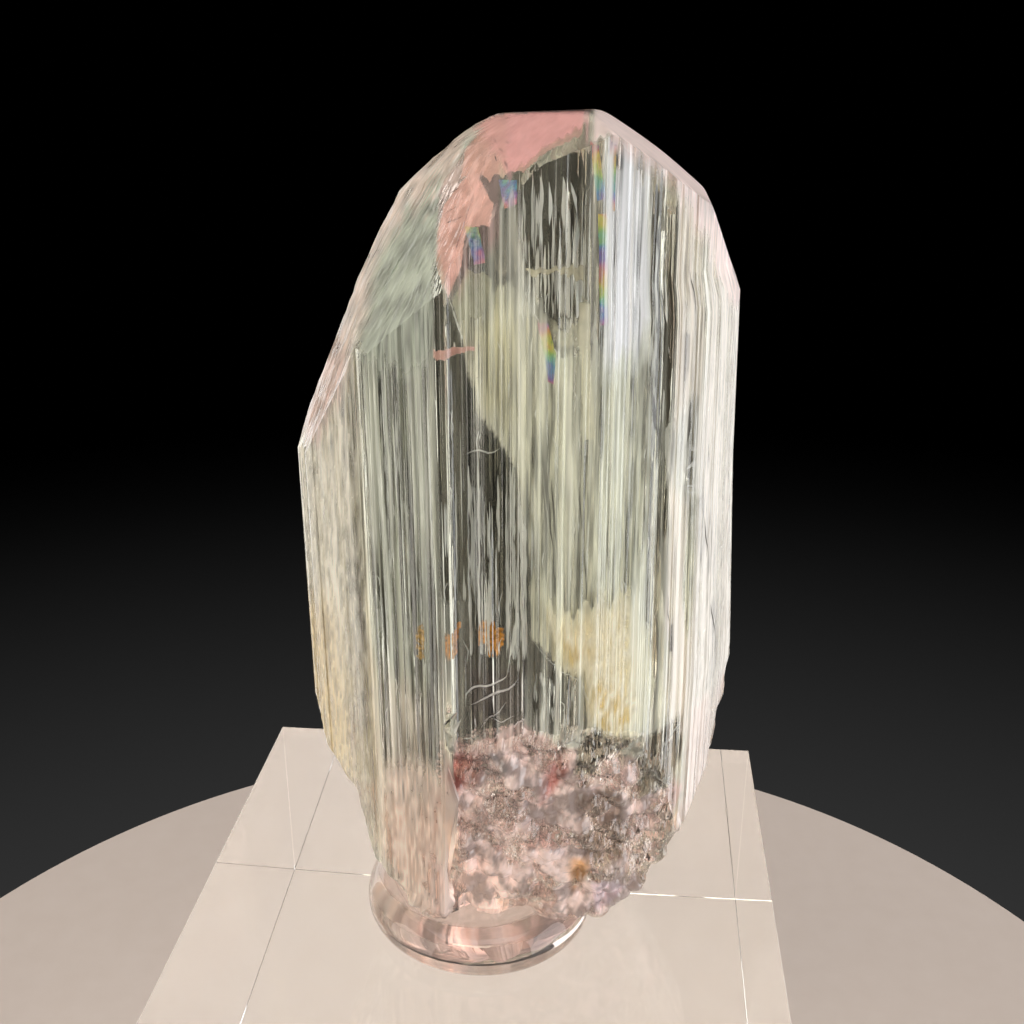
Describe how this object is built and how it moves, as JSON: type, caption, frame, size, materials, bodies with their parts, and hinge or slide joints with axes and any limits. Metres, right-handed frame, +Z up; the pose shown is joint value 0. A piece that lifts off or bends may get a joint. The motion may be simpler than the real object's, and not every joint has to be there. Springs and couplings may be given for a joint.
{
  "type": "spodumene crystal on an acrylic block",
  "caption": "Upright flattened, striated spodumene crystal with a rounded crown and a broken foot, set in clear gel on a clear square display block.",
  "frame": {"origin": "centre of the display block's underside", "axes": "+Z up along the crystal's prism, +X to the right and -Y to the front, square to the block"},
  "size_m": [0.032, 0.032, 0.0671],
  "materials": {
    "spodumene": "glossy striated prism faces, satin etched crown on the left, pink blush at the top",
    "clear_gel": "wet gloss",
    "clear_acrylic": "polished, with fine scratches"
  },
  "bodies": {
    "root": {"spodumene_crystal": "spodumene", "mounting_gel": "clear_gel", "acrylic_block": "clear_acrylic"}
  },
  "joints": []
}
